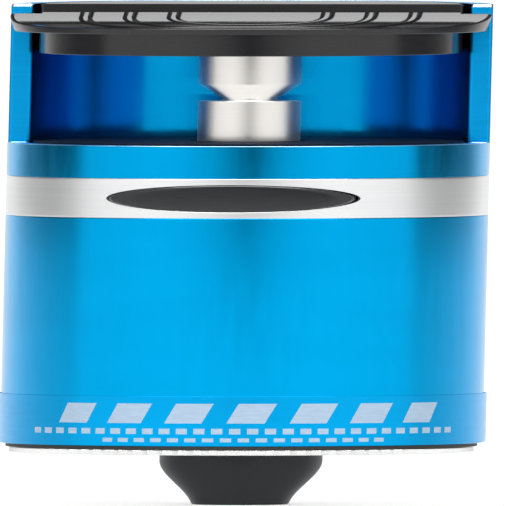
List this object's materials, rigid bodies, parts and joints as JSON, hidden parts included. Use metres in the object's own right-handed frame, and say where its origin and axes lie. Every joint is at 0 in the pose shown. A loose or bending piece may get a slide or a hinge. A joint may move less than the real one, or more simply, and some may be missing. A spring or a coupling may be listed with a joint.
{
  "type": "desoldering pump",
  "caption": "Slim tubular hand pump with a spring-driven piston, guarded thumb plunger, side release button, knurled nose and tapered nozzle for sucking up molten solder.",
  "frame": {"origin": "centre of the flat tip of the nozzle, on the axis of the tubes", "axes": "+Z along the plunger from the nozzle to the thumb pad, -Y out through the release button, +X to the right seen from the button's side"},
  "size_m": [0.0222, 0.0225, 0.2085],
  "materials": {
    "anodised_blue": "bright blue anodised, satin",
    "bare_aluminium": "turned and brushed",
    "bright_steel": "ground and plated",
    "spring_steel": "drawn wire and sheet",
    "brass": "turned",
    "black_plastic": "moulded, semi-gloss",
    "nozzle_black": "filled heat-resistant plastic, dull",
    "acetal": "machined, white",
    "black_rubber": "smooth",
    "printed_film": "clear film over the blue tube, with light grey print"
  },
  "bodies": {
    "housing": {"guard_tube": "anodised_blue", "barrel_tube": "anodised_blue", "label_film": "printed_film", "trigger_collar": "bare_aluminium", "guide_plug": "black_plastic", "rod_guide_bush": "brass", "bumper_washer": "black_rubber", "nose_cap": "bare_aluminium", "nose_seal": "black_rubber", "nozzle_tip": "nozzle_black", "nozzle_seal": "black_rubber", "spring_seat": "bare_aluminium", "main_spring": "spring_steel", "latch_spring": "spring_steel"},
    "plunger": {"plunger_rod": "bright_steel", "thumb_pad": "black_plastic", "piston_body": "acetal", "piston_ring_upper": "black_rubber", "piston_ring_lower": "black_rubber", "piston_washer": "bare_aluminium", "piston_nut": "brass", "cleaning_pin": "bright_steel"},
    "button": {"button_cap": "black_plastic", "latch_plate": "spring_steel"}
  },
  "joints": [
    {"name": "plunger_slide", "type": "slide", "parent": "housing", "child": "plunger", "axis": [0, 0, -1], "range_m": [0, 0.036], "stiffness_N_per_m": 350, "springref_m": -0.03, "deforming": ["main_spring"]},
    {"name": "button_press", "type": "slide", "parent": "housing", "child": "button", "axis": [0, 1, 0], "range_m": [0, 0.0018], "stiffness_N_per_m": 700, "springref_m": -0.003, "deforming": ["latch_spring"]}
  ]
}
